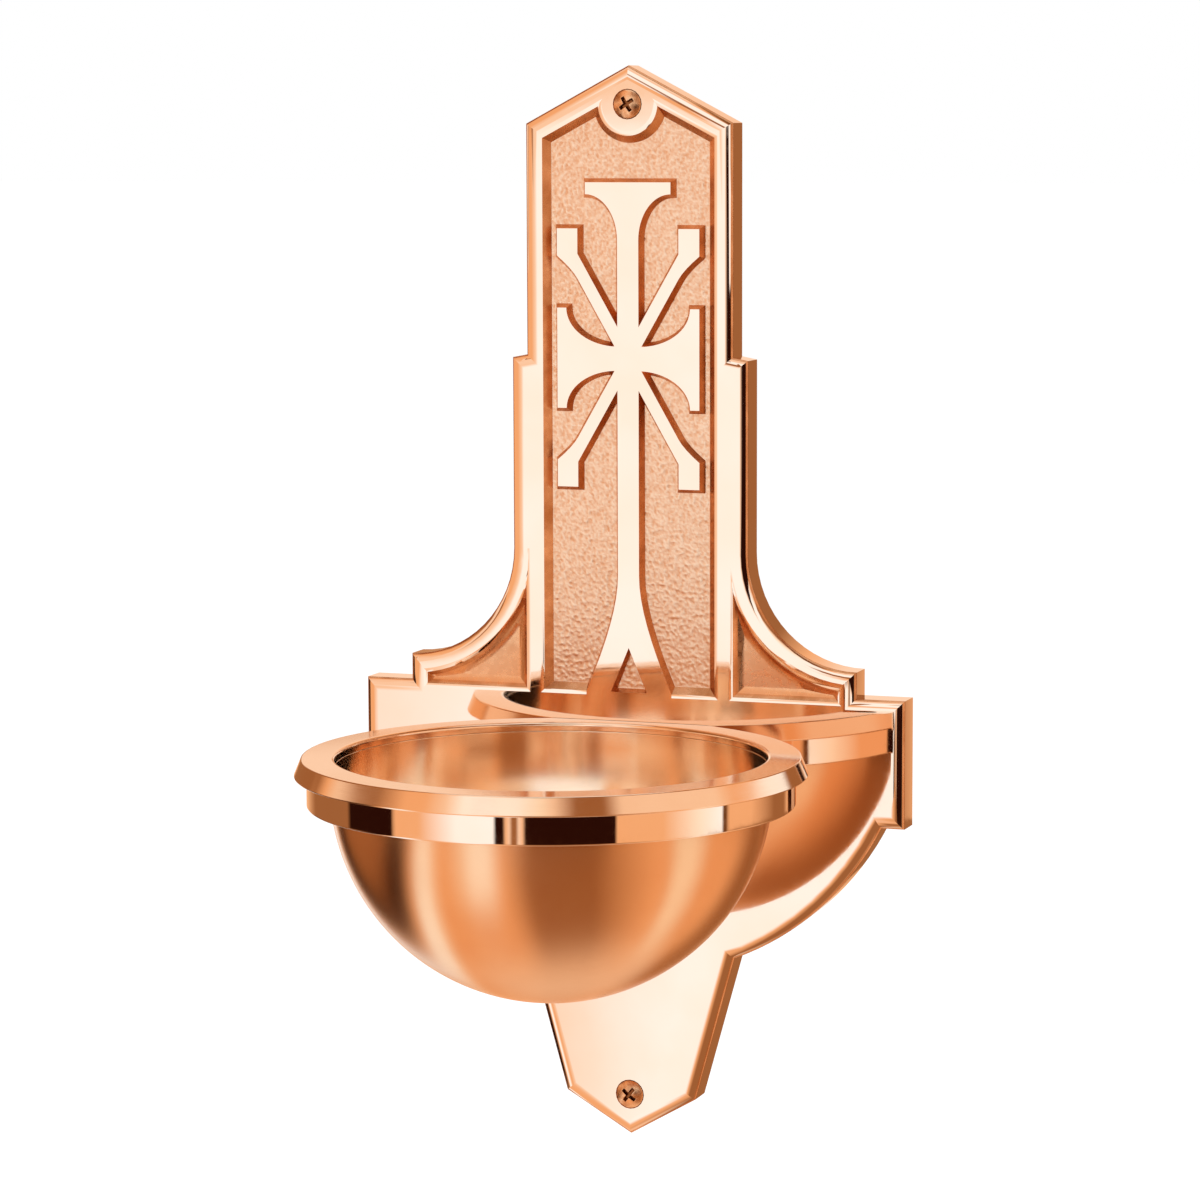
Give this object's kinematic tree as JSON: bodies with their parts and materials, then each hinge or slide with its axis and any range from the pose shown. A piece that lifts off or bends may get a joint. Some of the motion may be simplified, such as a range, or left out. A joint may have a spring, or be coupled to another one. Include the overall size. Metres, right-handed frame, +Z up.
{
  "type": "holy water stoup",
  "caption": "Wall-hung holy water stoup: a cast back plate with a cross in relief carries a ring, and a round rimmed bowl hangs in the ring and lifts straight out for filling.",
  "frame": {"origin": "on the wall plane (the back of the plate), on the centre line, at the middle of the ring's height", "axes": "+X to the right as the stoup is faced, +Y into the wall, +Z up"},
  "size_m": [0.195, 0.198, 0.3679],
  "materials": {
    "polished_bronze": "mirror polished, rose-coloured bronze; the sunk field of the plate is stippled",
    "satin_bronze": "satin, brushed round the bowl's axis",
    "screw_bronze": "dulled, as turned"
  },
  "bodies": {
    "wall_unit": {"back_plate": "polished_bronze", "bowl_ring": "polished_bronze", "wall_screw_top": "screw_bronze", "wall_screw_bottom": "screw_bronze", "ring_screw_left": "screw_bronze", "ring_screw_right": "screw_bronze"},
    "bowl": {"bowl_shell": "satin_bronze", "bowl_rim": "satin_bronze"}
  },
  "joints": [
    {"name": "bowl_lift", "type": "slide", "parent": "wall_unit", "child": "bowl", "axis": [0, 0, 1], "range_m": [0, 0.09]}
  ]
}
